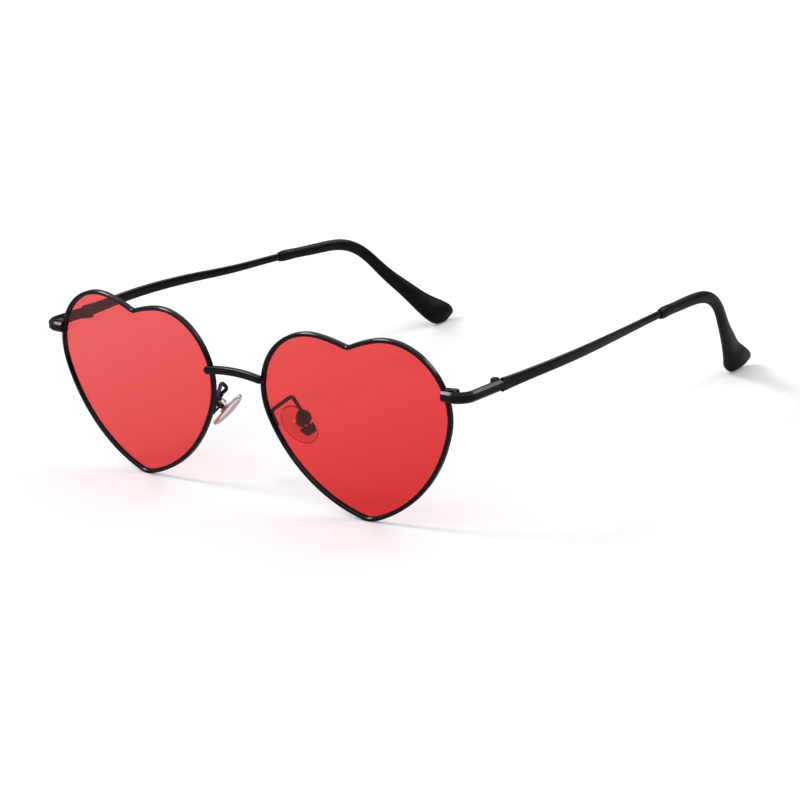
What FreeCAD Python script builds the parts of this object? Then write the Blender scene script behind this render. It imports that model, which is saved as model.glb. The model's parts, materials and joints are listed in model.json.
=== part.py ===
"""Heart shaped metal sunglasses, standing open on a flat surface.

Frame: +X to the wearer's left, +Y towards the back of the head, +Z up, millimetres.
Origin: the middle of the footprint, on the surface that the rim points and temple tips touch.
The left half is built piece by piece and the right half is its mirror image.
"""

import FreeCAD
import Part
import math
import os

from FreeCAD import Placement, Rotation, Vector

SIZES = {
    # Lens outline: arcs named from the lower point up to the cleft, angles from straight up
    "point_radius": 6.23,
    "flank_radius": 37.87,
    "flank_angle": 163.1,
    "shoulder_radius": 16.11,
    "shoulder_angle": 108.8,
    "lobe_radius": 41.2,
    "lobe_angle": -10.1,
    "cleft_radius": 2.65,
    # Rim wire and the lens in its groove
    "rim_face": 1.1,
    "rim_depth": 1.5,
    "rim_bevel": 0.25,
    "rim_split": 0.12,
    "groove_depth": 0.4,
    "lens_recess": 0.55,
    "lens_thickness": 0.7,
    "lens_play": 0.04,
    # Where the two rims stand
    "point_offset": 37.84,
    "front_reach": 72.54,
    "rim_tilt_angle": 1.45,
    "rim_wrap_angle": 3.64,
    "rim_cant_angle": -2.57,
    # Bridge bar across the front of the rims
    "bridge_level": 33.6,
    "bridge_height": 2.1,
    "bridge_depth": 1.6,
    "bridge_arch": 0.75,
    "bridge_round": 0.62,
    "bridge_lap": 0.25,
    "bar_seat": 0.1,
    # Endpiece: a flat bar that laps the rim and turns back to the hinge. The temples spread from the
    # lens openings' outer edges
    "endpiece_level": 33.9,
    "endpiece_height": 2.7,
    "endpiece_thickness": 1.3,
    "endpiece_inset": 0.35,
    "endpiece_bend_radius": 4.8,
    "endpiece_bevel": 0.6,
    "temple_spread": 6.93,
    "temple_slope_angle": 1.8,
    # Hinge
    "hinge_setback": 15.0,
    "butt_gap": 0.1,
    "knuckle_radius": 1.15,
    "knuckle_height": 0.75,
    "knuckle_gap": 0.05,
    "knuckle_room": 0.2,
    "leaf_thickness": 0.5,
    "leaf_length": 3.4,
    "leaf_height": 1.8,
    "leaf_room": 0.3,
    "hinge_screw_radius": 0.55,
    "hinge_screw_play": 0.05,
    "hinge_head_radius": 0.95,
    "hinge_head_height": 0.25,
    "screw_slot": 0.2,
    # Rim lock: two blocks that a screw draws together at the split of the rim
    "lock_width": 2.4,
    "lock_wall": 0.1,
    "lock_depth": 2.2,
    "lock_height": 1.35,
    "lock_round": 0.4,
    "lock_screw_radius": 0.5,
    "lock_head_radius": 0.8,
    "lock_head_height": 0.35,
    # Temple bar and its core
    "temple_reach": 131.5,
    "temple_gather": 18.17,
    "temple_drop": 34.89,
    "temple_height": 3.5,
    "temple_thickness": 1.3,
    "core_height": 2.0,
    "core_thickness": 1.2,
    # Temple tip
    "sleeve_height": 3.0,
    "sleeve_thickness": 2.25,
    "paddle_height": 9.0,
    "paddle_thickness": 3.7,
    "tip_lean_angle": 34.0,
    "tip_twist_angle": 20.0,
    # Nose pad, placed from the lens opening's edge, its box and its arm, whose foot is levelled from the pad
    "pad_inset": 0.5,
    "pad_setback": 8.5,
    "pad_level": 19.25,
    "pad_frontal_angle": 47.0,
    "pad_splay_angle": 15.0,
    "pad_length": 11.8,
    "pad_width": 8.2,
    "pad_thickness": 1.7,
    "pad_round": 0.7,
    "boss_radius": 1.7,
    "boss_height": 0.65,
    "tab_thickness": 1.0,
    "tab_width": 1.8,
    "tab_height": 1.7,
    "tab_plate_radius": 1.2,
    "tab_plate_thickness": 0.4,
    "pad_axis_height": 2.5,
    "pad_screw_radius": 0.35,
    "pad_screw_play": 0.05,
    "pad_head_radius": 0.6,
    "pad_head_height": 0.35,
    "box_radius": 2.0,
    "box_thickness": 0.65,
    "box_room": 0.4,
    "lug_thickness": 0.5,
    "lug_radius": 0.75,
    "lug_play": 0.06,
    "tongue_length": 2.35,
    "tongue_width": 4.6,
    "tongue_gap": 1.1,
    "tongue_room": 0.7,
    "arm_radius": 0.5,
    "arm_bend_radius": 1.2,
    "arm_seat": 0.12,
    "arm_foot_level": 3.55,
    "arm_foot_length": 3.9,
    "arm_inset": 2.6,
    "arm_back": 5.2,
    "arm_rise": 2.8,
    "crook_return": 0.3,
    "crook_back": 1.7,
    "crook_fall": 2.2,
    # One overrun for every cut
    "overrun": 1.0,
}

# Temple centre line: shares of temple_reach, temple_gather and temple_drop
TEMPLE_PATH_SHARES = (
    (0.0, 0.0, 0.0),
    (0.191, -0.044, 0.012),
    (0.42, 0.152, 0.063),
    (0.589, 0.281, 0.091),
    (0.68, 0.36, 0.116),
    (0.729, 0.392, 0.136),
    (0.769, 0.427, 0.184),
    (0.809, 0.486, 0.29),
    (0.849, 0.594, 0.467),
    (0.909, 0.782, 0.713),
    (0.943, 0.883, 0.848),
    (1.0, 1.0, 1.0),
)
# Temple bar: share of the centre line's length, then how far it has tapered to the core
TEMPLE_TAPER_SHARES = (
    (0.0, 0.0),
    (0.04, 0.28),
    (0.12, 0.46),
    (0.24, 0.58),
    (0.36, 0.79),
    (0.48, 0.97),
    (0.54, 1.0),
    (0.60, 1.0),
    (0.64, 1.0),
    (0.68, 1.0),
    (0.71, 1.0),
    (0.74, 1.0),
    (0.77, 1.0),
    (0.80, 1.0),
    (0.83, 1.0),
)
# Temple tip: share of the centre line's length, then how far it has flared to the paddle
TIP_FLARE_SHARES = (
    (0.515, 0.0),
    (0.54, 0.004),
    (0.60, 0.012),
    (0.64, 0.02),
    (0.68, 0.04),
    (0.71, 0.045),
    (0.74, 0.065),
    (0.77, 0.09),
    (0.80, 0.135),
    (0.83, 0.2),
    (0.88, 0.39),
    (0.93, 0.69),
)
# Round end of the tip: share of the length, shares of the paddle's height and thickness, lean
TIP_END_SHARES = (
    (0.95, 0.91, 1.0, 0.3),
    (0.966, 0.97, 0.98, 0.55),
    (0.979, 1.0, 0.92, 0.78),
    (0.988, 0.94, 0.8, 0.9),
    (0.9945, 0.79, 0.62, 0.97),
    (0.9985, 0.65, 0.42, 1.0),
    (1.0, 0.49, 0.26, 1.0),
)
MOUTH_SHARES = (0.507, 0.84)
# Crown of the broad faces, then the corner radius, both of half the thickness
METAL_CROWN_SHARES = (0.28, 0.62)
PLASTIC_CROWN_SHARES = (0.36, 0.58)
ROUND_LIMIT_SHARE = 0.4
TONGUE_TAPER_SHARE = 0.6

doc = FreeCAD.newDocument("heart_sunglasses")
sheet = doc.addObject("Spreadsheet::Sheet", "Sizes")
for row, (alias, value) in enumerate(SIZES.items(), start=1):
    sheet.set(f"A{row}", alias)
    sheet.set(f"B{row}", str(value))
    sheet.setAlias(f"B{row}", alias)
doc.recompute()

X_AXIS = Vector(1, 0, 0)
Y_AXIS = Vector(0, 1, 0)
Z_AXIS = Vector(0, 0, 1)
SAME_LENGTH_SHARE = 0.0001


def size(alias):
    return float(sheet.get(alias))


def at(x=0.0, y=0.0, z=0.0, rotation=Rotation()):
    return Placement(Vector(x, y, z), rotation)


def feature(label, shape, place=Placement()):
    """A plain shape as an object of the document."""
    obj = doc.addObject("Part::Feature", label)
    obj.Shape = shape
    obj.Placement = place
    return obj


def primitive(kind, label, place, **cells):
    """A box or cylinder whose sizes are expressions of the sheet."""
    obj = doc.addObject("Part::" + kind, label)
    for prop, expression in cells.items():
        obj.setExpression(prop, expression)
    obj.Placement = place
    return obj


def cylinder(label, place, radius, height):
    return primitive("Cylinder", label, place, Radius=radius, Height=height)


def box(label, place, length, width, height):
    return primitive("Box", label, place, Length=length, Width=width, Height=height)


def cut(label, base, *tools):
    """The base with each tool taken out of it."""
    for number, tool in enumerate(tools, start=1):
        last = number == len(tools)
        obj = doc.addObject("Part::Cut", label if last else f"{label}_cut_{number}")
        obj.Base = base
        obj.Tool = tool
        base = obj
    doc.recompute()
    return base


def fuse(label, *shapes):
    obj = doc.addObject("Part::MultiFuse", label)
    obj.Shapes = list(shapes)
    obj.Refine = True
    doc.recompute()
    return obj


def extrude(label, face, direction, length):
    obj = doc.addObject("Part::Extrusion", label)
    obj.Base = face
    obj.DirMode = "Custom"
    obj.Dir = direction
    obj.setExpression("LengthFwd", length)
    obj.Solid = True
    doc.recompute()
    return obj


def dress(kind, label, base, radius, wanted):
    """A fillet or chamfer on the edges that the test picks."""
    obj = doc.addObject("Part::" + kind, label)
    obj.Base = base
    edges = enumerate(base.Shape.Edges, start=1)
    obj.Edges = [(number, radius, radius) for number, edge in edges if wanted(edge)]
    doc.recompute()
    return obj


def near(a, b):
    return math.isclose(a, b, abs_tol=SAME_LENGTH_SHARE * size("rim_face"))


# Lens outline


def unit(angle):
    turn = math.radians(angle)
    return Vector(math.sin(turn), 0, math.cos(turn))


def outline_centres():
    """Centres of the arcs on the outline's +X half, and the angle where the cleft begins."""
    point = Vector(0, 0, size("point_radius"))
    flank = point + unit(size("flank_angle")) * (size("point_radius") - size("flank_radius"))
    step = size("flank_radius") - size("shoulder_radius")
    shoulder = flank + unit(size("shoulder_angle")) * step
    step = size("shoulder_radius") - size("lobe_radius")
    lobe = shoulder + unit(size("lobe_angle")) * step
    reach = size("lobe_radius") + size("cleft_radius")
    cleft = Vector(0, 0, lobe.z + math.sqrt(reach**2 - lobe.x**2))
    cleft_angle = math.degrees(math.atan2(-lobe.x, cleft.z - lobe.z))
    return point, flank, shoulder, lobe, cleft, cleft_angle


POINT, FLANK, SHOULDER, LOBE, CLEFT, CLEFT_ANGLE = outline_centres()


def arc(centre, radius, start, end, side=1):
    """An arc about a centre on the +X half, or its mirror image with side -1."""
    corners = [centre + unit(a) * radius for a in (start, (start + end) / 2, end)]
    return Part.Arc(*[Vector(c.x * side, c.y, c.z) for c in corners]).toShape()


def heart_face(label, grow, depth=0.0):
    """The lens opening's outline, moved outwards by grow, at a depth behind the rim's front."""
    spans = (
        (LOBE, size("lobe_radius"), CLEFT_ANGLE, size("lobe_angle")),
        (SHOULDER, size("shoulder_radius"), size("lobe_angle"), size("shoulder_angle")),
        (FLANK, size("flank_radius"), size("shoulder_angle"), size("flank_angle")),
    )
    edges = [arc(c, r + grow, a, b, side) for side in (1, -1) for c, r, a, b in spans]
    half_turn_angle = 180
    round_point = size("flank_angle")
    edges.append(arc(POINT, size("point_radius") + grow, round_point, 2 * half_turn_angle - round_point))
    notch = (half_turn_angle + CLEFT_ANGLE, half_turn_angle - CLEFT_ANGLE)
    edges.append(arc(CLEFT, size("cleft_radius") - grow, *notch))
    wire = Part.Wire(Part.__sortEdges__(edges))
    return feature(label, Part.Face(wire), RIM_PLACE.multiply(at(y=depth)))


def edge_offset(level):
    """Half the width of the lens opening at a height above its lower point."""
    lowest = SHOULDER.z + size("shoulder_radius") * math.cos(math.radians(size("shoulder_angle")))
    if level >= lowest:
        centre, radius = SHOULDER, size("shoulder_radius")
    else:
        centre, radius = FLANK, size("flank_radius")
    return centre.x + math.sqrt(radius**2 - (level - centre.z) ** 2)


# Frames of reference on the left half

RIM_TURN = (
    Rotation(X_AXIS, size("rim_tilt_angle"))
    .multiply(Rotation(Z_AXIS, size("rim_wrap_angle")))
    .multiply(Rotation(Y_AXIS, size("rim_cant_angle")))
)
RIM_PLACE = Placement(Vector(size("point_offset"), -size("front_reach"), size("rim_face")), RIM_TURN)
RIM_BACK = RIM_TURN.multVec(Y_AXIS)


def on_rim(x, depth, level):
    """A place given across, behind and up from the lower point of the lens opening."""
    return RIM_PLACE.multVec(Vector(x, depth, level))


LAP = on_rim(edge_offset(size("endpiece_level")), 0, size("endpiece_level"))
AXIS_TO_BAR = size("knuckle_radius") + size("knuckle_room") + size("endpiece_thickness") / 2
SLOPE_TURN = Rotation(X_AXIS, -size("temple_slope_angle"))
HINGE_DROP = size("hinge_setback") * math.tan(math.radians(size("temple_slope_angle")))
HINGE_PLACE = Placement(
    Vector(
        LAP.x + size("temple_spread") - AXIS_TO_BAR,
        size("hinge_setback") - size("front_reach"),
        LAP.z - HINGE_DROP,
    ),
    SLOPE_TURN,
)
HINGE_UP = SLOPE_TURN.multVec(Z_AXIS)


def pad_turn():
    """The pad's frame: its length up along Y, its back towards the box along Z."""
    frontal = math.radians(size("pad_frontal_angle"))
    splay = math.radians(size("pad_splay_angle"))
    upward = Vector(-math.sin(frontal), 0, math.cos(frontal))
    outward = Vector(
        math.cos(frontal) * math.cos(splay),
        -math.sin(splay),
        math.sin(frontal) * math.cos(splay),
    )
    return Rotation(upward.cross(outward), upward, outward, "ZYX")


PAD_EDGE = on_rim(-edge_offset(size("pad_level")), 0, size("pad_level"))
PAD_PLACE = Placement(PAD_EDGE + Vector(-size("pad_inset"), size("pad_setback"), 0), pad_turn())


def in_hinge(x=0.0, y=0.0, z=0.0):
    return HINGE_PLACE.multiply(at(x, y, z))


def in_pad(x=0.0, y=0.0, z=0.0, rotation=Rotation()):
    return PAD_PLACE.multiply(at(x, y, z, rotation))


# Pieces of the left half


def make_rim():
    """Heart ring with bevelled edges, a lens groove and a split where the lock closes it."""
    outer = extrude("rim_outer", heart_face("rim_outline", size("rim_face")), RIM_BACK, "Sizes.rim_depth")
    through = heart_face("aperture_outline", 0, -size("overrun"))
    aperture = extrude("aperture", through, RIM_BACK, "Sizes.rim_depth + 2 * Sizes.overrun")
    ring = cut("rim_ring", outer, aperture)
    to_rim = RIM_PLACE.inverse()

    def outer_or_front(edge):
        depths = [to_rim.multVec(v.Point).y for v in edge.Vertexes]
        middle = to_rim.multVec(edge.valueAt((edge.FirstParameter + edge.LastParameter) / 2))
        on_front = all(near(d, 0) for d in depths)
        on_back = all(near(d, size("rim_depth")) for d in depths)
        radius = edge.Curve.Radius if hasattr(edge.Curve, "Radius") else 0
        inner = (size("point_radius"), size("flank_radius"), size("shoulder_radius"))
        inner += (size("lobe_radius"), size("cleft_radius"))
        return near(middle.y, depths[0]) and (
            on_front or on_back and not any(near(radius, r) for r in inner)
        )

    bevel = min(size("rim_bevel"), size("rim_face") * ROUND_LIMIT_SHARE)
    bevelled = dress("Chamfer", "rim_bevelled", ring, bevel, outer_or_front)
    groove_front = size("lens_recess") - size("lens_play")
    groove_face = heart_face("groove_outline", size("groove_depth"), groove_front)
    groove = extrude("groove", groove_face, RIM_BACK, "Sizes.lens_thickness + 2 * Sizes.lens_play")
    corner = Vector(
        edge_offset(size("endpiece_level")) - size("overrun"),
        -size("overrun"),
        size("endpiece_level") - size("rim_split") / 2,
    )
    split = box(
        "rim_split_cut",
        RIM_PLACE.multiply(Placement(corner, Rotation())),
        "Sizes.rim_face + 2 * Sizes.overrun",
        "Sizes.rim_depth + 2 * Sizes.overrun",
        "Sizes.rim_split",
    )
    return cut("left_rim", bevelled, groove, split)


def make_lens():
    """Flat tinted plate with its edge in the rim's groove."""
    face = heart_face("lens_outline", size("groove_depth") - size("lens_play"), size("lens_recess"))
    return extrude("left_lens", face, RIM_BACK, "Sizes.lens_thickness")


def make_endpiece(rim):
    """Bar that laps the rim's front at its outer side, turns back and ends at the hinge."""
    thickness = size("endpiece_thickness")
    start = HINGE_PLACE.inverse().multVec(LAP)
    start.x += size("endpiece_inset")
    inner_y = start.y + size("bar_seat")
    outer_y = inner_y - thickness
    outer_x = AXIS_TO_BAR + thickness / 2
    inner_x = outer_x - thickness
    bend = size("endpiece_bend_radius")
    hub = Vector(outer_x - bend, outer_y + bend, 0)
    end_y = -size("butt_gap") / 2

    def on_bend(radius, angle):
        turn = math.radians(angle)
        return hub + Vector(math.cos(turn), math.sin(turn), 0) * radius

    def quarter(radius, angles):
        return Part.Arc(*[on_bend(radius, a) for a in angles]).toShape()

    def line(a, b):
        return Part.LineSegment(Vector(*a, 0), Vector(*b, 0)).toShape()

    edges = [
        line((start.x, outer_y), (hub.x, outer_y)),
        quarter(bend, (-90, -45, 0)),
        line((outer_x, hub.y), (outer_x, end_y)),
        line((outer_x, end_y), (inner_x, end_y)),
        line((inner_x, end_y), (inner_x, hub.y)),
        quarter(bend - thickness, (0, -45, -90)),
        line((hub.x, inner_y), (start.x, inner_y)),
        line((start.x, inner_y), (start.x, outer_y)),
    ]
    low = -size("endpiece_height") / 2
    plan = feature("endpiece_plan", Part.Face(Part.Wire(edges)), in_hinge(z=low))
    bar = extrude("endpiece_bar", plan, HINGE_UP, "Sizes.endpiece_height")
    to_hinge = HINGE_PLACE.inverse()

    def outside(edge):
        middle = edge.valueAt((edge.FirstParameter + edge.LastParameter) / 2)
        place = to_hinge.multVec(middle)
        ends = [to_hinge.multVec(v.Point) for v in edge.Vertexes]
        level = all(near(abs(e.z), -low) for e in ends) and near(ends[0].z, ends[-1].z)
        on_arc = near((Vector(place.x, place.y, 0) - hub).Length, bend)
        return level and (near(place.y, outer_y) or near(place.x, outer_x) or on_arc)

    bevelled = dress("Chamfer", "endpiece_bevelled", bar, size("endpiece_bevel"), outside)
    return cut("left_endpiece", bevelled, rim)


def make_hinge_half(name, direction, levels, bore_radii):
    """Leaf on the bar's inner face with a knuckle at each level; direction -1 is the front half."""
    inner_face = size("knuckle_radius") + size("knuckle_room")
    leaf_start = size("knuckle_radius") + size("leaf_room")
    leaf_y = leaf_start if direction > 0 else -leaf_start - size("leaf_length")
    leaf_corner = in_hinge(inner_face - size("leaf_thickness"), leaf_y, -size("leaf_height") / 2)
    leaf_sizes = ("Sizes.leaf_thickness", "Sizes.leaf_length", "Sizes.leaf_height")
    shapes = [box(name + "_leaf", leaf_corner, *leaf_sizes)]
    web_length = "Sizes.knuckle_radius + Sizes.leaf_room + Sizes.leaf_thickness"
    web_y = 0 if direction > 0 else -leaf_start - size("leaf_thickness")
    bores = []
    for number, (level, bore) in enumerate(zip(levels, bore_radii), start=1):
        low = level - size("knuckle_height") / 2
        knuckle = f"{name}_knuckle_{number}"
        shapes.append(cylinder(knuckle, in_hinge(z=low), "Sizes.knuckle_radius", "Sizes.knuckle_height"))
        web_width = "Sizes.knuckle_radius + Sizes.knuckle_room"
        web = f"{name}_web_{number}"
        shapes.append(box(web, in_hinge(0, web_y, low), web_width, web_length, "Sizes.knuckle_height"))
        hole = in_hinge(z=low - size("overrun"))
        length = "Sizes.knuckle_height + 2 * Sizes.overrun"
        bores.append(cylinder(f"{name}_bore_{number}", hole, bore, length))
    body = fuse(name + "_body", *shapes)
    if len(bores) == 1:
        return cut("left_" + name, body, bores[0])
    # Each bore stays inside its own knuckle, so that the wider one does not open the narrow one
    split = [doc.addObject("Part::Common", f"{bore.Name}_in_knuckle") for bore in bores]
    for common, bore, knuckle in zip(split, bores, shapes[1::2]):
        common.Base = bore
        common.Tool = knuckle
    return cut("left_" + name, body, *split)


def slotted_screw(label, place, shank, shank_length, head, head_height):
    """Shank from the place up along Z, with a slotted head on top."""
    head_place = place.multiply(at(z=shank_length[1]))
    parts = (
        cylinder(label + "_shank", place, shank, shank_length[0]),
        cylinder(label + "_head", head_place, head, head_height),
    )
    blank = fuse(label + "_blank", *parts)
    depth = parts[1].Height.Value / 2
    half = size("screw_slot") / 2
    reach = parts[1].Radius.Value + size("overrun")
    slot_place = head_place.multiply(at(-reach, -half, depth))
    slot_length = head + " * 2 + 2 * Sizes.overrun"
    slot = box(label + "_slot", slot_place, slot_length, "Sizes.screw_slot", head_height)
    return cut(label, blank, slot)


def make_hinge():
    """Front half with two knuckles, temple half with one between them, and the screw."""
    pitch = size("knuckle_height") + size("knuckle_gap")
    loose = "Sizes.hinge_screw_radius + Sizes.hinge_screw_play"
    tight = "Sizes.hinge_screw_radius"
    front = make_hinge_half("hinge_front", -1, (pitch, -pitch), (loose, tight))
    rear = make_hinge_half("hinge_temple", 1, (0.0,), (loose,))
    top = pitch + size("knuckle_height") / 2
    screw = slotted_screw(
        "left_hinge_screw",
        in_hinge(z=-top),
        "Sizes.hinge_screw_radius",
        ("3 * Sizes.knuckle_height + 2 * Sizes.knuckle_gap", 2 * top),
        "Sizes.hinge_head_radius",
        "Sizes.hinge_head_height",
    )
    return front, rear, screw


def make_rim_lock(rim, endpiece):
    """Upper and lower block outside the rim's split, behind the endpiece, and their screw."""
    level = size("endpiece_level")
    half_split = size("rim_split") / 2
    reach = half_split + size("lock_height") + size("lock_head_height")
    widest = max(edge_offset(level + step) for step in (-reach, 0, reach))
    outer = widest + size("rim_face")
    depth = size("lock_depth")
    screw_x = outer + size("lock_width") / 2
    blocks = []
    for name, low in (("upper", level + half_split), ("lower", level - half_split - size("lock_height"))):
        inner = edge_offset(low) + size("groove_depth") + size("lock_wall")
        corner = RIM_PLACE.multiply(at(inner, 0, low))
        width = str(outer + size("lock_width") - inner)
        label = f"rim_lock_{name}"
        block = box(label + "_block", corner, width, "Sizes.lock_depth", "Sizes.lock_height")
        doc.recompute()
        to_rim = RIM_PLACE.inverse()

        def outer_back(edge, low=low):
            ends = [to_rim.multVec(v.Point) for v in edge.Vertexes]
            face = low + size("lock_height") if low > level else low
            behind = all(near(e.y, depth) for e in ends)
            beyond = all(near(e.x, outer + size("lock_width")) for e in ends)
            capped = all(near(e.z, face) for e in ends)
            return behind and (capped or beyond) or beyond and capped

        rounded = dress("Fillet", label + "_rounded", block, size("lock_round"), outer_back)
        hole_place = RIM_PLACE.multiply(at(screw_x, depth / 2, low - size("overrun")))
        hole_length = "Sizes.lock_height + 2 * Sizes.overrun"
        hole = cylinder(label + "_hole", hole_place, "Sizes.lock_screw_radius", hole_length)
        blocks.append(cut("left_" + label, rounded, hole, rim, endpiece))
    shank = 2 * size("lock_height") + size("rim_split")
    upside_down = Rotation(X_AXIS, 180)
    screw_top = RIM_PLACE.multiply(at(screw_x, depth / 2, level + shank / 2, upside_down))
    screw = slotted_screw(
        "left_rim_lock_screw",
        screw_top,
        "Sizes.lock_screw_radius",
        ("2 * Sizes.lock_height + Sizes.rim_split", shank),
        "Sizes.lock_head_radius",
        "Sizes.lock_head_height",
    )
    return (*blocks, screw)


def crowned_section(centre, side, up, thickness, height, crown_shares):
    """Closed wire of two crowned broad faces, two narrow flats and tangent corners about a centre."""
    half = thickness / 2
    crown, corner = [half * share for share in crown_shares]
    lift = height / 2 - corner
    tilt = 2 * math.atan(crown / lift)
    sweep_radius = corner + lift / math.sin(tilt)
    hub = half - corner - crown
    quarter = math.pi / 2

    def bend(across, level, radius, start, end):
        turns = (start, (start + end) / 2, end)
        spot = centre + side * across + up * level
        points = [spot + (side * math.cos(a) + up * math.sin(a)) * radius for a in turns]
        return Part.Arc(*points).toShape()

    def flat(level, direction):
        ends = [centre + side * (hub * turn) + up * level for turn in (direction, -direction)]
        return Part.LineSegment(*ends).toShape()

    edges = [
        bend(half - sweep_radius, 0, sweep_radius, -tilt, tilt),
        bend(hub, lift, corner, tilt, quarter),
        flat(lift + corner, 1),
        bend(-hub, lift, corner, quarter, 2 * quarter - tilt),
        bend(sweep_radius - half, 0, sweep_radius, 2 * quarter - tilt, 2 * quarter + tilt),
        bend(-hub, -lift, corner, 2 * quarter + tilt, 3 * quarter),
        flat(-lift - corner, -1),
        bend(hub, -lift, corner, 3 * quarter, 4 * quarter - tilt),
    ]
    return Part.Wire(edges)


def temple_path():
    """Centre line of the temple from its butt end to the end of the tip."""
    start = HINGE_PLACE.multVec(Vector(AXIS_TO_BAR, size("butt_gap") / 2, 0))
    gather, reach, drop = size("temple_gather"), size("temple_reach"), size("temple_drop")
    points = [
        start + Vector(-gather * inward, reach * along, -drop * down)
        for along, inward, down in TEMPLE_PATH_SHARES
    ]
    path = Part.BSplineCurve()
    heading = SLOPE_TURN.multVec(Y_AXIS)
    ending = (points[-1] - points[-2]).normalize()
    path.interpolate(Points=points, InitialTangent=heading, FinalTangent=ending)
    return path


def path_section(path, share, height, thickness, crown_shares, lean=0.0, twist=0.0):
    """Crowned section across the path at a share of its length, twisted about it and leaned back."""
    distance = share * path.length()
    place = path.parameterAtDistance(distance, path.FirstParameter)
    centre = path.value(place)
    along = Vector(*path.tangent(place)[0])
    level = (X_AXIS - along * X_AXIS.dot(along)).normalize()
    side = Rotation(along, twist).multVec(level)
    up = Rotation(side, lean).multVec(side.cross(along))
    return crowned_section(centre, side, up, thickness, height, crown_shares)


def between(first, last, share):
    return size(first) + (size(last) - size(first)) * share


def make_temple(path):
    """Tapering metal bar that runs on as a core inside the tip."""
    sections = []
    for share, taper in TEMPLE_TAPER_SHARES:
        height = between("temple_height", "core_height", taper)
        thickness = between("temple_thickness", "core_thickness", taper)
        sections.append(path_section(path, share, height, thickness, METAL_CROWN_SHARES))
    return feature("left_temple", Part.makeLoft(sections, True, False))


def make_temple_tip(path, temple):
    """Plastic sleeve over the core, bent down behind the ear and flared to a paddle."""
    mouth_share, mouth_size_share = MOUTH_SHARES
    sections = [
        path_section(
            path,
            mouth_share,
            size("sleeve_height") * mouth_size_share,
            size("sleeve_thickness") * mouth_size_share,
            PLASTIC_CROWN_SHARES,
        )
    ]
    for share, flare in TIP_FLARE_SHARES:
        height = between("sleeve_height", "paddle_height", flare)
        thickness = between("sleeve_thickness", "paddle_thickness", flare)
        turn = size("tip_twist_angle") * flare
        sections.append(path_section(path, share, height, thickness, PLASTIC_CROWN_SHARES, twist=turn))
    for share, height_share, thickness_share, lean_share in TIP_END_SHARES:
        height = size("paddle_height") * height_share
        thickness = size("paddle_thickness") * thickness_share
        lean = -size("tip_lean_angle") * lean_share
        across = (height, thickness, PLASTIC_CROWN_SHARES)
        sections.append(path_section(path, share, *across, lean, size("tip_twist_angle")))
    sleeve = feature("temple_tip_blank", Part.makeLoft(sections, True, False))
    return cut("left_temple_tip", sleeve, temple)


def make_nose_pad():
    """Clear oval pad with a round boss on its back, and the tab set into the boss."""
    half = size("pad_thickness") / 2
    oval = Part.Ellipse(Vector(), size("pad_length") / 2, size("pad_width") / 2)
    face = Part.Face(Part.Wire(oval.toShape()))
    upright = Rotation(Z_AXIS, 90)
    plan = feature("pad_outline", face, in_pad(z=-half, rotation=upright))
    direction = PAD_PLACE.Rotation.multVec(Z_AXIS)
    plate = extrude("pad_plate", plan, direction, "Sizes.pad_thickness")
    rounding = min(size("pad_round"), size("pad_thickness") * ROUND_LIMIT_SHARE)
    soft = dress("Fillet", "pad_soft", plate, rounding, lambda edge: edge.isClosed())
    boss_length = "Sizes.pad_thickness / 2 + Sizes.boss_height"
    boss = cylinder("pad_boss", in_pad(), "Sizes.boss_radius", boss_length)
    pad = fuse("pad_blank", soft, boss)
    top = half + size("boss_height")
    plate_z = top - size("tab_plate_thickness")
    base = cylinder("tab_plate", in_pad(z=plate_z), "Sizes.tab_plate_radius", "Sizes.tab_plate_thickness")
    corner = in_pad(-size("tab_thickness") / 2, -size("tab_width") / 2, top)
    tab = box("tab_upright", corner, "Sizes.tab_thickness", "Sizes.tab_width", "Sizes.tab_height")
    blank = fuse("pad_core_blank", base, tab)
    hole = pad_screw_cylinder(
        "pad_core_hole",
        size("tab_thickness") / 2 + size("overrun"),
        "Sizes.pad_screw_radius + Sizes.pad_screw_play",
        "Sizes.tab_thickness + 2 * Sizes.overrun",
    )
    core = cut("left_pad_core", blank, hole)
    return cut("left_nose_pad", pad, base), core


def pad_screw_cylinder(label, half_length, radius, length):
    """Cylinder along the axis that the pad rocks about."""
    along_x = Rotation(Y_AXIS, 90)
    return cylinder(label, in_pad(-half_length, 0, size("pad_axis_height"), along_x), radius, length)


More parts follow.
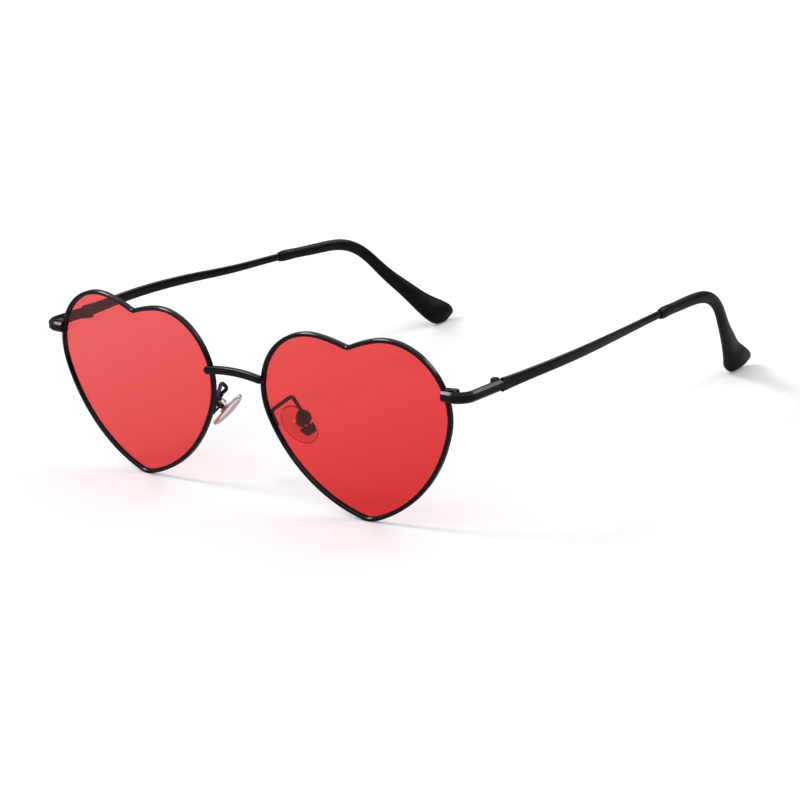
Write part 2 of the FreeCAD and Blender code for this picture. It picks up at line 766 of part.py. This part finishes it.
def make_pad_box():
    """Disc with two lugs either side of the tab, which carry a tapered tongue, and the screw."""
    low = size("pad_axis_height") + size("lug_radius") + size("box_room")
    parts = [cylinder("pad_box_disc", in_pad(z=low), "Sizes.box_radius", "Sizes.box_thickness")]
    inner = size("tab_thickness") / 2 + size("lug_play")
    shelf = size("pad_thickness") / 2 + size("boss_height") + size("tongue_room")
    start = size("tab_width") / 2 + size("tongue_gap")
    foot_length = "Sizes.tab_width / 2 + Sizes.tongue_gap + Sizes.lug_thickness / 2"
    for number, x in enumerate((inner, -inner - size("lug_thickness")), start=1):
        along_x = Rotation(Y_AXIS, 90)
        eye = in_pad(x, 0, size("pad_axis_height"), along_x)
        parts.append(cylinder(f"pad_lug_eye_{number}", eye, "Sizes.lug_radius", "Sizes.lug_thickness"))
        corner = in_pad(x, -size("lug_radius"), size("pad_axis_height"))
        height = "Sizes.lug_radius + Sizes.box_room"
        lug = f"pad_lug_{number}"
        parts.append(box(lug, corner, "Sizes.lug_thickness", "2 * Sizes.lug_radius", height))
        foot = in_pad(x, -start - size("lug_thickness") / 2, shelf)
        foot_sizes = ("Sizes.lug_thickness", foot_length, "Sizes.lug_thickness")
        parts.append(box(f"pad_lug_foot_{number}", foot, *foot_sizes))
    wide = size("tongue_width") / 2
    slim = wide * TONGUE_TAPER_SHARE
    outline = [Vector(wide, -start, 0), Vector(slim, -start - size("tongue_length"), 0)]
    outline += [Vector(-corner.x, corner.y, 0) for corner in reversed(outline)]
    face = Part.Face(Part.makePolygon([*outline, outline[0]]))
    plan = feature("pad_tongue_plan", face, in_pad(z=shelf))
    direction = PAD_PLACE.Rotation.multVec(Z_AXIS)
    parts.append(extrude("pad_tongue", plan, direction, "Sizes.lug_thickness"))
    body = fuse("pad_box_body", *parts)
    outer = inner + size("lug_thickness")
    span = "Sizes.tab_thickness + 2 * Sizes.lug_play + 2 * Sizes.lug_thickness"
    hole_length = span + " + 2 * Sizes.overrun"
    hole_start = outer + size("overrun")
    hole = pad_screw_cylinder("pad_box_hole", hole_start, "Sizes.pad_screw_radius", hole_length)
    pad_box = cut("left_pad_box", body, hole)
    along_x = Rotation(Y_AXIS, 90)
    screw = slotted_screw(
        "left_pad_screw",
        in_pad(-outer, 0, size("pad_axis_height"), along_x),
        "Sizes.pad_screw_radius",
        (span, 2 * outer),
        "Sizes.pad_head_radius",
        "Sizes.pad_head_height",
    )
    return pad_box, screw


def bent_path(points, radius):
    """Straight runs joined by tangent arcs of one radius."""
    edges = []
    last = points[0]
    for before, corner, after in zip(points, points[1:], points[2:]):
        into = (corner - before).normalize()
        out = (after - corner).normalize()
        turn = into.getAngle(out)
        setback = radius * math.tan(turn / 2)
        start = corner - into * setback
        end = corner + out * setback
        inward = (out - into).normalize()
        middle = corner + inward * (radius / math.cos(turn / 2) - radius)
        edges.append(Part.LineSegment(last, start).toShape())
        edges.append(Part.Arc(start, middle, end).toShape())
        last = end
    edges.append(Part.LineSegment(last, points[-1]).toShape())
    return Part.Wire(edges)


def sweep(label, path, profile):
    obj = doc.addObject("Part::Sweep", label)
    obj.Sections = [profile]
    obj.Spine = (path, [f"Edge{n}" for n in range(1, len(path.Shape.Edges) + 1)])
    obj.Solid = True
    obj.Frenet = False
    doc.recompute()
    return obj


def make_pad_arm(rim, pad_box):
    """Bent wire: a foot along the rim's back, a rise, a crook, and a turn down on to the box."""
    level = size("pad_level") + size("arm_foot_level")
    depth = size("rim_depth") + size("arm_radius") - size("arm_seat")
    half = size("arm_foot_length") / 2

    def behind_wire(height):
        return on_rim(-edge_offset(height) - size("rim_face") / 2, depth, height)

    foot = behind_wire(level - half)
    knee = behind_wire(level + half)
    crest = knee + Vector(size("arm_inset"), size("arm_back"), size("arm_rise"))
    crook = crest + Vector(-size("crook_return"), size("crook_back"), -size("crook_fall"))
    disc_back = size("pad_axis_height") + size("lug_radius") + size("box_room") + size("box_thickness")
    landing = PAD_PLACE.multVec(Vector(0, 0, disc_back + size("arm_radius") - size("arm_seat")))
    corners = [foot, knee, crest, crook, landing]
    path = feature("pad_arm_path", bent_path(corners, size("arm_bend_radius")))
    profile = doc.addObject("Part::Circle", "pad_arm_section")
    profile.setExpression("Radius", "Sizes.arm_radius")
    profile.Placement = Placement(foot, Rotation(Z_AXIS, knee - foot))
    doc.recompute()
    wire = sweep("pad_arm_wire", path, profile)
    return cut("left_pad_arm", wire, rim, pad_box)


def make_bridge(left_rim, right_rim):
    """Arched bar with round edges and ends, which laps the fronts of the rims."""
    level = size("bridge_level")
    half = size("bridge_height") / 2
    end = on_rim(size("bridge_lap") - edge_offset(level) - half, size("bar_seat"), level)
    rise = size("bridge_arch")
    radius = (end.x**2 + rise**2) / (2 * rise)
    hub = Vector(0, end.y, end.z + rise - radius)
    slope = math.degrees(math.asin(end.x / radius))

    def across(angle, reach):
        return hub + unit(angle) * reach

    def arch(reach, turn):
        return Part.Arc(*[across(a, reach) for a in (-slope * turn, 0, slope * turn)]).toShape()

    def cap(turn):
        centre = across(slope * turn, radius)
        outward = unit(slope * turn + 90 * turn)
        rim_points = [across(slope * turn, radius + step) for step in (half, -half)]
        return Part.Arc(rim_points[0], centre + outward * half, rim_points[1]).toShape()

    edges = [arch(radius + half, 1), cap(1), arch(radius - half, -1), cap(-1)]
    wire = Part.Wire(Part.__sortEdges__(edges))
    plan = feature("bridge_plan", Part.Face(wire))
    bar = extrude("bridge_bar", plan, Y_AXIS * -1, "Sizes.bridge_depth")
    front = end.y - size("bridge_depth")

    def level_edge(edge):
        depths = [v.Point.y for v in edge.Vertexes]
        return near(depths[0], depths[-1]) and (near(depths[0], front) or near(depths[0], end.y))

    rounding = min(size("bridge_round"), size("bridge_depth") * ROUND_LIMIT_SHARE)
    rounded = dress("Fillet", "bridge_rounded", bar, rounding, level_edge)
    return cut("bridge", rounded, left_rim, right_rim)


def mirrored(left):
    obj = doc.addObject("Part::Mirroring", left.Label.replace("left_", "right_", 1))
    obj.Source = left
    obj.Normal = X_AXIS
    doc.recompute()
    return obj


rim = make_rim()
endpiece = make_endpiece(rim)
centre_line = temple_path()
temple = make_temple(centre_line)
pad_box, pad_screw = make_pad_box()
left_nodes = [
    rim,
    make_lens(),
    endpiece,
    *make_rim_lock(rim, endpiece),
    *make_hinge(),
    temple,
    make_temple_tip(centre_line, temple),
    *make_nose_pad(),
    pad_box,
    pad_screw,
    make_pad_arm(rim, pad_box),
]
right_nodes = [mirrored(piece) for piece in left_nodes]
nodes = [*left_nodes, *right_nodes, make_bridge(rim, right_nodes[0])]
doc.recompute()

for obj in doc.Objects:
    if "Invalid" in obj.State or "Error" in obj.State:
        raise RuntimeError(f"{obj.Label} did not build: {obj.State}")
for node in nodes:
    if node.Shape.isNull() or not node.Shape.isValid() or not node.Shape.Solids:
        raise RuntimeError(f"{node.Label} is not a valid solid")

os.makedirs("parts", exist_ok=True)
for node in nodes:
    node.Shape.exportStep(f"parts/{node.Label}.step")
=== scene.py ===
"""Heart shaped metal sunglasses with red lenses, standing open on a white surface."""

import json
import math

import bpy
import numpy as np
from mathutils import Matrix, Vector


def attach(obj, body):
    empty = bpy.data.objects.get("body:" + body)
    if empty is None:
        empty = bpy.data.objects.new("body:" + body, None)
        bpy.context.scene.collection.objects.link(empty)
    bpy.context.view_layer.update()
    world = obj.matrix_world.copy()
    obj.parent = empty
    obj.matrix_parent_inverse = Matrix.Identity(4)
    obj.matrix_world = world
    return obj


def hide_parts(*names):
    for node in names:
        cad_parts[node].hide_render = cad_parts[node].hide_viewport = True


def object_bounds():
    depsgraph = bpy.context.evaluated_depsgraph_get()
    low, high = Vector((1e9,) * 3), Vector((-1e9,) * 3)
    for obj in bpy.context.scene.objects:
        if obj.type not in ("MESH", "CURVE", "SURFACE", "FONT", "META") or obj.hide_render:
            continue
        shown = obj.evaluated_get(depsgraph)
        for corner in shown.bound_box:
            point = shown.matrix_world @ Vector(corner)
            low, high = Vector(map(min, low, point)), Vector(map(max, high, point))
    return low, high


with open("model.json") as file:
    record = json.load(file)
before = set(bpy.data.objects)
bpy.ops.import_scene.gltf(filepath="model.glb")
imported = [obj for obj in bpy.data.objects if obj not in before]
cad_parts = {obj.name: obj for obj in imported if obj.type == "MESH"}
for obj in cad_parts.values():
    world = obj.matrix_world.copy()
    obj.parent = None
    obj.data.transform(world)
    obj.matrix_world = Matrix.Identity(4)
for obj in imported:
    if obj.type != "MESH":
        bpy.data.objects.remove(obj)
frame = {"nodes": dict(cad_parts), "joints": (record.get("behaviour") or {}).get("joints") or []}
cad_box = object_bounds()
nodes = frame["nodes"]
scene = bpy.context.scene
scene.view_settings.view_transform = "Standard"

# Camera: angles in degrees, places in metres, focal length in millimetres
CAMERA_AZIMUTH = 40.244
CAMERA_ELEVATION = 17.936
CAMERA_ROLL = -4.143
CAMERA_DISTANCE = 0.763842
CAMERA_LENS = 130.556
CAMERA_TARGET = Vector((0.006731, -0.020558, 0.011396))
CAMERA_CLIP = (0.02, 20.0)

# Floor: half its side in metres, its colour, the darker colour that gloss mirrors, and its own faint light
FLOOR_HALF = 3.0
FLOOR_COLOUR = (0.78, 0.78, 0.785)
FLOOR_MIRRORED = (0.36, 0.36, 0.365)
FLOOR_GLOW = 0.17

# Light: a soft sky over a dark horizon, a key lamp from the front left and a weaker lamp from behind
SKY_COLOUR = (0.985, 0.985, 1.0)
SKY_HORIZON = 0.05
SKY_TOP = 0.97
SKY_RISE = (0.12, 0.72)
KEY_STRENGTH = 1.25
KEY_ANGLE = 17.0
KEY_FROM = (-0.61, -0.29, 0.71)
BACK_STRENGTH = 0.4
BACK_ANGLE = 20.0
BACK_FROM = (0.31, 0.73, 0.61)

# Lens tint: heights and sides in metres between which it changes, the shares of the change, and its colours;
# the change with height and side is painted light and reflection, paler high up and on the wearer's right
LENS_HEIGHTS = (0.004, 0.046)
LENS_SIDES = (-0.068, 0.068)
LENS_PAINTED_HEIGHT_SHARE = 0.46
LENS_PAINTED_SIDE_SHARE = 0.72
LENS_CLOUD_SHARE = 0.06
LENS_STOPS = (
    (0.2, (0.69, 0.03, 0.032)),
    (0.4, (0.747, 0.044, 0.047)),
    (0.67, (0.792, 0.063, 0.065)),
    (1.0, (0.807, 0.097, 0.097)),
)

# Nose pads, in metres: the clear oval's thickness, how its ends curve back, and the boss on its back
PAD_MIDDLE = 0.0017
PAD_EDGE = 0.00125
PAD_BOW = 0.0003
BOSS_RADIUS = 0.0017
BOSS_ROUND = 0.00025

# Rings of a nose pad: points on each, steps round its edge and its boss, and shares of the flat stretches
PAD_SEGMENTS = 64
EDGE_STEPS = 8
BOSS_STEPS = 3
SKIN_SHARES = (0.06, 0.3, 0.52, 0.7, 0.84, 0.94)
BACK_SHARES = (0.85, 0.6, 0.35, 0.12)

# Noise stays mostly between these values
NOISE_SPAN = (0.3, 0.7)
RAMP_HALFWAY = 0.5

# Places of a mix node's colour sockets, whose names it repeats for other kinds of value
MIX_FIRST = 6
MIX_SECOND = 7
MIX_RESULT = 2

WHITE = (1.0, 1.0, 1.0)


# Node helpers


def opaque(colour):
    return (*colour, 1.0)


class Tree:
    """A material's node tree with one Principled shader."""

    def __init__(self, name):
        self.material = bpy.data.materials.new(name)
        self.material.use_nodes = True
        self.nodes = self.material.node_tree.nodes
        self.links = self.material.node_tree.links
        self.nodes.clear()
        self.output = self.node("ShaderNodeOutputMaterial")
        self.shader = self.node("ShaderNodeBsdfPrincipled")
        self.link(self.shader.outputs["BSDF"], self.output.inputs["Surface"])
        self.place = self.node("ShaderNodeTexCoord").outputs["Object"]

    def node(self, kind, **settings):
        made = self.nodes.new(kind)
        for key, value in settings.items():
            setattr(made, key, value)
        return made

    def link(self, source, target):
        self.links.new(source, target)

    def feed(self, socket, value):
        """Give a socket another socket's value, or a plain one."""
        if isinstance(value, bpy.types.NodeSocket):
            self.link(value, socket)
        else:
            socket.default_value = value

    def set(self, **values):
        """Plain values or other sockets on the shader's own sockets."""
        for key, value in values.items():
            self.feed(self.shader.inputs[key.replace("_", " ")], value)

    def noise(self, scale, detail=2.0, rough=0.5, stretch=None):
        """Noise in the part's own place, optionally stretched."""
        made = self.node("ShaderNodeTexNoise")
        made.inputs["Scale"].default_value = scale
        made.inputs["Detail"].default_value = detail
        made.inputs["Roughness"].default_value = rough
        place = self.place
        if stretch:
            mapping = self.node("ShaderNodeMapping")
            mapping.inputs["Scale"].default_value = stretch
            self.link(place, mapping.inputs["Vector"])
            place = mapping.outputs["Vector"]
        self.link(place, made.inputs["Vector"])
        return made.outputs["Fac"]

    def ramp(self, source, stops):
        """Colours by value, from pairs of a position and a colour; new pairs start halfway along the ramp."""
        made = self.node("ShaderNodeValToRGB")
        elements = made.color_ramp.elements
        while len(elements) < len(stops):
            elements.new(RAMP_HALFWAY)
        for element, (position, colour) in zip(elements, stops):
            element.position = position
            element.color = opaque(colour)
        self.link(source, made.inputs["Fac"])
        return made.outputs["Color"]

    def clouded(self, source, dark, pale):
        """Two colours that noise mixes."""
        return self.ramp(source, tuple(zip(NOISE_SPAN, (dark, pale))))

    def spread(self, source, low, high, span=NOISE_SPAN):
        """Values from low to high while the source crosses the span."""
        made = self.node("ShaderNodeMapRange")
        for key, value in zip(("From Min", "From Max", "To Min", "To Max"), (*span, low, high)):
            made.inputs[key].default_value = value
        self.link(source, made.inputs["Value"])
        return made.outputs["Result"]

    def math(self, operation, first, second):
        made = self.node("ShaderNodeMath", operation=operation)
        for socket, value in zip(made.inputs, (first, second)):
            self.feed(socket, value)
        return made.outputs["Value"]

    def mix(self, factor, first, second):
        """Colour from the first to the second as the factor rises."""
        made = self.node("ShaderNodeMix", data_type="RGBA")
        self.link(factor, made.inputs["Factor"])
        self.feed(made.inputs[MIX_FIRST], first)
        self.feed(made.inputs[MIX_SECOND], second)
        return made.outputs[MIX_RESULT]

    def bump(self, height, strength, distance):
        made = self.node("ShaderNodeBump")
        made.inputs["Strength"].default_value = strength
        made.inputs["Distance"].default_value = distance
        self.link(height, made.inputs["Height"])
        self.set(Normal=made.outputs["Normal"])


def see_through_shadow(tree, tint):
    """Lamps pass the surface with its tint, so that the shadow on the floor is coloured."""
    path = tree.node("ShaderNodeLightPath")
    clear = tree.node("ShaderNodeBsdfTransparent")
    clear.inputs["Color"].default_value = opaque(tint)
    mix = tree.node("ShaderNodeMixShader")
    shadow, seen, passed = mix.inputs
    tree.link(path.outputs["Is Shadow Ray"], shadow)
    tree.link(tree.shader.outputs["BSDF"], seen)
    tree.link(clear.outputs["BSDF"], passed)
    tree.link(mix.outputs["Shader"], tree.output.inputs["Surface"])


# Materials


def lacquered_metal():
    """Black lacquer on metal: deep and slightly violet, with a gloss that a fine skin softens."""
    tree = Tree("frame_black_lacquer")
    cloud = tree.noise(scale=420.0, detail=4.0)
    skin = tree.noise(scale=9000.0)
    tree.set(
        Base_Color=tree.clouded(cloud, dark=(0.0035, 0.0026, 0.0038), pale=(0.0065, 0.0048, 0.0068)),
        Roughness=tree.spread(cloud, low=0.16, high=0.23),
        Specular_IOR_Level=0.25,
        Specular_Tint=opaque((1.0, 0.92, 1.0)),
    )
    tree.bump(skin, strength=0.04, distance=0.00002)
    return tree.material


def tinted_lens():
    """Clear red sheet whose tint carries painted light and reflection: paler high up and on the wearer's
    right, deepest low down on the wearer's left.
    """
    tree = Tree("lens_red_tint")
    split = tree.node("ShaderNodeSeparateXYZ")
    tree.link(tree.place, split.inputs["Vector"])
    # Painted light and reflection: the tint grows paler with height and towards the wearer's right; the noise
    # is the sheet's own cloudiness
    height = tree.spread(split.outputs["Z"], low=0.0, high=LENS_PAINTED_HEIGHT_SHARE, span=LENS_HEIGHTS)
    side = tree.spread(split.outputs["X"], low=LENS_PAINTED_SIDE_SHARE, high=0.0, span=LENS_SIDES)
    cloud = tree.math("MULTIPLY", tree.noise(scale=60.0), LENS_CLOUD_SHARE)
    painted_light_and_cloud = tree.math("ADD", tree.math("ADD", height, side), cloud)
    tree.set(
        Base_Color=tree.ramp(painted_light_and_cloud, LENS_STOPS),
        Roughness=tree.spread(tree.noise(scale=300.0), low=0.004, high=0.018),
        Transmission_Weight=1.0,
        IOR=1.49,
    )
    see_through_shadow(tree, tint=(0.995, 0.965, 0.965))
    return tree.material


def satin_plastic():
    """Black moulded plastic with a fine satin skin."""
    tree = Tree("tip_black_satin")
    cloud = tree.noise(scale=260.0, detail=3.0)
    grain = tree.noise(scale=5200.0, detail=3.0, rough=0.6)
    tree.set(
        Base_Color=tree.clouded(cloud, dark=(0.0032, 0.0028, 0.004), pale=(0.006, 0.0052, 0.0072)),
        Roughness=tree.spread(cloud, low=0.3, high=0.4),
        Specular_IOR_Level=0.17,
        Specular_Tint=opaque((1.0, 0.94, 1.0)),
    )
    tree.bump(grain, strength=0.08, distance=0.00003)
    return tree.material


def clear_silicone():
    """Soft clear pad, slightly pink and cloudy, with a painted reddish reflection along its edge."""
    tree = Tree("pad_clear_silicone")
    cloud = tree.noise(scale=520.0, detail=3.0)
    body = tree.clouded(cloud, dark=(0.94, 0.81, 0.81), pale=(0.97, 0.86, 0.86))
    # Painted reflection: where the pad turns away from the view its colour goes reddish, as if the red lenses
    # were mirrored in its edge
    painted_outline_reflection = tree.node("ShaderNodeLayerWeight")
    painted_outline_reflection.inputs["Blend"].default_value = 0.35
    tree.set(
        Base_Color=tree.mix(painted_outline_reflection.outputs["Facing"], body, opaque((0.60, 0.26, 0.28))),
        Roughness=tree.spread(cloud, low=0.05, high=0.1),
        Transmission_Weight=0.9,
        IOR=1.3,
    )
    see_through_shadow(tree, tint=(0.9, 0.87, 0.87))
    return tree.material


def turned_steel(name, dark, pale):
    """Small turned metal with fine tool marks."""
    tree = Tree(name)
    marks = tree.noise(scale=2400.0, detail=3.0, rough=0.6, stretch=(1.0, 1.0, 7.0))
    tree.set(
        Base_Color=tree.clouded(marks, dark, pale),
        Roughness=tree.spread(marks, low=0.24, high=0.38),
        Metallic=1.0,
    )
    tree.bump(marks, strength=0.06, distance=0.00002)
    return tree.material


FRAME = lacquered_metal()
LENS = tinted_lens()
TIP = satin_plastic()
PAD = clear_silicone()
SCREW = turned_steel("screw_dark_steel", dark=(0.10, 0.098, 0.10), pale=(0.20, 0.195, 0.20))
STEEL = turned_steel("pad_core_steel", dark=(0.16, 0.155, 0.155), pale=(0.30, 0.29, 0.29))

# The material of the nodes whose names end so; all others are of the frame's metal
FINISHES = (
    ("lens", LENS),
    ("temple_tip", TIP),
    ("nose_pad", PAD),
    ("pad_core", STEEL),
    ("screw", SCREW),
)


def finish_of(name):
    for ending, material in FINISHES:
        if name.endswith(ending):
            return material
    return FRAME


def paint(obj, material):
    obj.data.materials.clear()
    obj.data.materials.append(material)


for name, obj in nodes.items():
    paint(obj, finish_of(name))


# Nose pads


def pad_axes(joint, node):
    """The rocking pivot, and columns for the pad's width, its length and its way from skin to box."""
    mesh = node.data
    areas = np.array([face.area for face in mesh.polygons])
    normals = np.array([face.normal for face in mesh.polygons])
    spread = np.einsum("i,ij,ik->jk", areas, normals, normals)
    pivot = np.array(joint["pos_m"])
    across = np.array(joint["axis"]) / np.linalg.norm(joint["axis"])
    outward = np.linalg.eigh(spread)[1][:, -1]
    centre = np.mean([vertex.co for vertex in mesh.vertices], axis=0)
    outward *= np.sign(outward @ (pivot - centre))
    axes = np.column_stack((across, np.cross(outward, across), outward))
    return pivot, axes


def pad_profile(half_width, half_length, boss_top):
    """Rings of width, length and height, from the skin's middle, round the edge, to the top of the boss."""
    rings = []
    edge = PAD_EDGE / 2
    skin_rise = PAD_MIDDLE - PAD_EDGE
    for share in SKIN_SHARES:
        grow = share * (1 - edge / half_width)
        rings.append((half_width * grow, half_length * grow, skin_rise * grow**2))
    for step in range(EDGE_STEPS + 1):
        turn = math.pi * (step / EDGE_STEPS - 0.5)
        inset = edge * (1 - math.cos(turn))
        rings.append((half_width - inset, half_length - inset, skin_rise + edge + edge * math.sin(turn)))
    foot = BOSS_RADIUS + BOSS_ROUND
    for share in BACK_SHARES:
        width = foot + (half_width - edge - foot) * share
        length = foot + (half_length - edge - foot) * share
        rings.append((width, length, PAD_MIDDLE))
    quarter = [math.pi / 2 * step / BOSS_STEPS for step in range(BOSS_STEPS + 1)]
    for turn in quarter:
        radius = foot - BOSS_ROUND * math.sin(turn)
        rings.append((radius, radius, PAD_MIDDLE + BOSS_ROUND * (1 - math.cos(turn))))
    for turn in quarter:
        radius = BOSS_RADIUS - BOSS_ROUND * (1 - math.cos(turn))
        rings.append((radius, radius, boss_top - BOSS_ROUND * (1 - math.sin(turn))))
    return rings


def ring_faces(count):
    """Faces between neighbouring rings, and one across the first and the last ring."""
    faces = []
    for ring in range(count - 1):
        first = ring * PAD_SEGMENTS
        second = first + PAD_SEGMENTS
        for segment in range(PAD_SEGMENTS):
            following = (segment + 1) % PAD_SEGMENTS
            faces.append((first + segment, first + following, second + following, second + segment))
    last = (count - 1) * PAD_SEGMENTS
    faces.append(tuple(range(PAD_SEGMENTS))[::-1])
    faces.append(tuple(range(last, last + PAD_SEGMENTS)))
    return faces


def make_pad(side):
    """Crowned clear oval with a round boss, in the place of the plain one."""
    name = f"{side}_nose_pad"
    joint = next(j for j in frame["joints"] if j["name"] == name + "_rock")
    pivot, axes = pad_axes(joint, nodes[name])
    local = (np.array([vertex.co for vertex in nodes[name].data.vertices]) - pivot) @ axes
    low, high = local.min(axis=0), local.max(axis=0)
    middle = (low + high) / 2
    half_width, half_length = (high - low)[:2] / 2
    rings = pad_profile(half_width, half_length, high[2] - low[2])
    points = []
    for width, length, height in rings:
        for segment in range(PAD_SEGMENTS):
            turn = math.tau * segment / PAD_SEGMENTS
            x = width * math.cos(turn)
            y = length * math.sin(turn)
            bow = PAD_BOW * (y / half_length) ** 2
            points.append((middle[0] + x, middle[1] + y, low[2] + height + bow))
    faces = ring_faces(len(rings))
    if np.linalg.det(axes) > 0:
        faces = [face[::-1] for face in faces]
    mesh = bpy.data.meshes.new(name + "_clear")
    mesh.from_pydata([tuple(pivot + axes @ np.array(point)) for point in points], [], faces)
    mesh.polygons.foreach_set("use_smooth", [True] * len(mesh.polygons))
    pad = bpy.data.objects.new(name + "_clear", mesh)
    scene.collection.objects.link(pad)
    paint(pad, PAD)
    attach(pad, name)
    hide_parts(name)


for side in ("left", "right"):
    make_pad(side)


# Floor, light and camera


def floor_paper():
    """White paper that glows faintly where it is seen, straight or through the lenses, and mirrors darker."""
    tree = Tree("floor_white")
    path = tree.node("ShaderNodeLightPath").outputs
    mirrored = tree.math("SUBTRACT", path["Is Glossy Ray"], path["Is Transmission Ray"])
    seen = tree.math("MAXIMUM", path["Is Camera Ray"], path["Is Transmission Ray"])
    tree.set(
        Base_Color=tree.mix(mirrored, opaque(FLOOR_COLOUR), opaque(FLOOR_MIRRORED)),
        Roughness=tree.spread(tree.noise(scale=35.0, detail=3.0), low=0.86, high=0.95),
        Specular_IOR_Level=0.0,
        Emission_Color=opaque(WHITE),
        Emission_Strength=tree.math("MULTIPLY", seen, FLOOR_GLOW),
    )
    return tree.material


def make_floor():
    """Wide floor under the part, which keeps its shadow."""
    mesh = bpy.data.meshes.new("floor")
    level = cad_box[0][2]
    corners = [(x * FLOOR_HALF, y * FLOOR_HALF, level) for x, y in ((-1, -1), (1, -1), (1, 1), (-1, 1))]
    mesh.from_pydata(corners, [], [(0, 1, 2, 3)])
    floor = bpy.data.objects.new("floor", mesh)
    scene.collection.objects.link(floor)
    paint(floor, floor_paper())


def make_sky():
    """Soft light that fades from overhead to the horizon; white where it is looked at directly."""
    world = bpy.data.worlds.new("studio")
    scene.world = world
    world.use_nodes = True
    tree = world.node_tree
    tree.nodes.clear()

    def background(colour):
        shader = tree.nodes.new("ShaderNodeBackground")
        shader.inputs["Color"].default_value = opaque(colour)
        return shader

    split = tree.nodes.new("ShaderNodeSeparateXYZ")
    tree.links.new(tree.nodes.new("ShaderNodeTexCoord").outputs["Generated"], split.inputs["Vector"])
    fade = tree.nodes.new("ShaderNodeMapRange")
    fade.interpolation_type = "SMOOTHSTEP"
    for key, value in zip(("From Min", "From Max", "To Min", "To Max"), (*SKY_RISE, SKY_HORIZON, SKY_TOP)):
        fade.inputs[key].default_value = value
    tree.links.new(split.outputs["Z"], fade.inputs["Value"])
    lighting = background(SKY_COLOUR)
    tree.links.new(fade.outputs["Result"], lighting.inputs["Strength"])
    path = tree.nodes.new("ShaderNodeLightPath")
    mix = tree.nodes.new("ShaderNodeMixShader")
    direct, lit, seen = mix.inputs
    tree.links.new(path.outputs["Is Camera Ray"], direct)
    tree.links.new(lighting.outputs["Background"], lit)
    tree.links.new(background(WHITE).outputs["Background"], seen)
    output = tree.nodes.new("ShaderNodeOutputWorld")
    tree.links.new(mix.outputs["Shader"], output.inputs["Surface"])


def make_lamp(name, strength, angle, source):
    """Distant lamp that shines from the source's direction; a wide angle softens its shadow."""
    lamp = bpy.data.lights.new(name, "SUN")
    lamp.energy = strength
    lamp.angle = math.radians(angle)
    obj = bpy.data.objects.new(name, lamp)
    scene.collection.objects.link(obj)
    obj.rotation_euler = Vector(source).to_track_quat("Z", "Y").to_euler()


def make_camera():
    """Camera that looks at its target from a distance, turned by azimuth, elevation and roll."""
    azimuth = math.radians(CAMERA_AZIMUTH)
    elevation = math.radians(CAMERA_ELEVATION)
    roll = math.radians(CAMERA_ROLL)
    flat = math.cos(elevation)
    back = Vector((math.sin(azimuth) * flat, -math.cos(azimuth) * flat, math.sin(elevation)))
    level = Vector((math.cos(azimuth), math.sin(azimuth), 0))
    upright = back.cross(level)
    right = level * math.cos(roll) + upright * math.sin(roll)
    up = upright * math.cos(roll) - level * math.sin(roll)
    camera = bpy.data.cameras.new("camera")
    camera.lens = CAMERA_LENS
    camera.clip_start, camera.clip_end = CAMERA_CLIP
    obj = bpy.data.objects.new("camera", camera)
    scene.collection.objects.link(obj)
    turn = Matrix((right, up, back)).transposed().to_4x4()
    obj.matrix_world = Matrix.Translation(CAMERA_TARGET + back * CAMERA_DISTANCE) @ turn
    scene.camera = obj


make_floor()
make_sky()
make_lamp("key", KEY_STRENGTH, KEY_ANGLE, KEY_FROM)
make_lamp("back", BACK_STRENGTH, BACK_ANGLE, BACK_FROM)
make_camera()
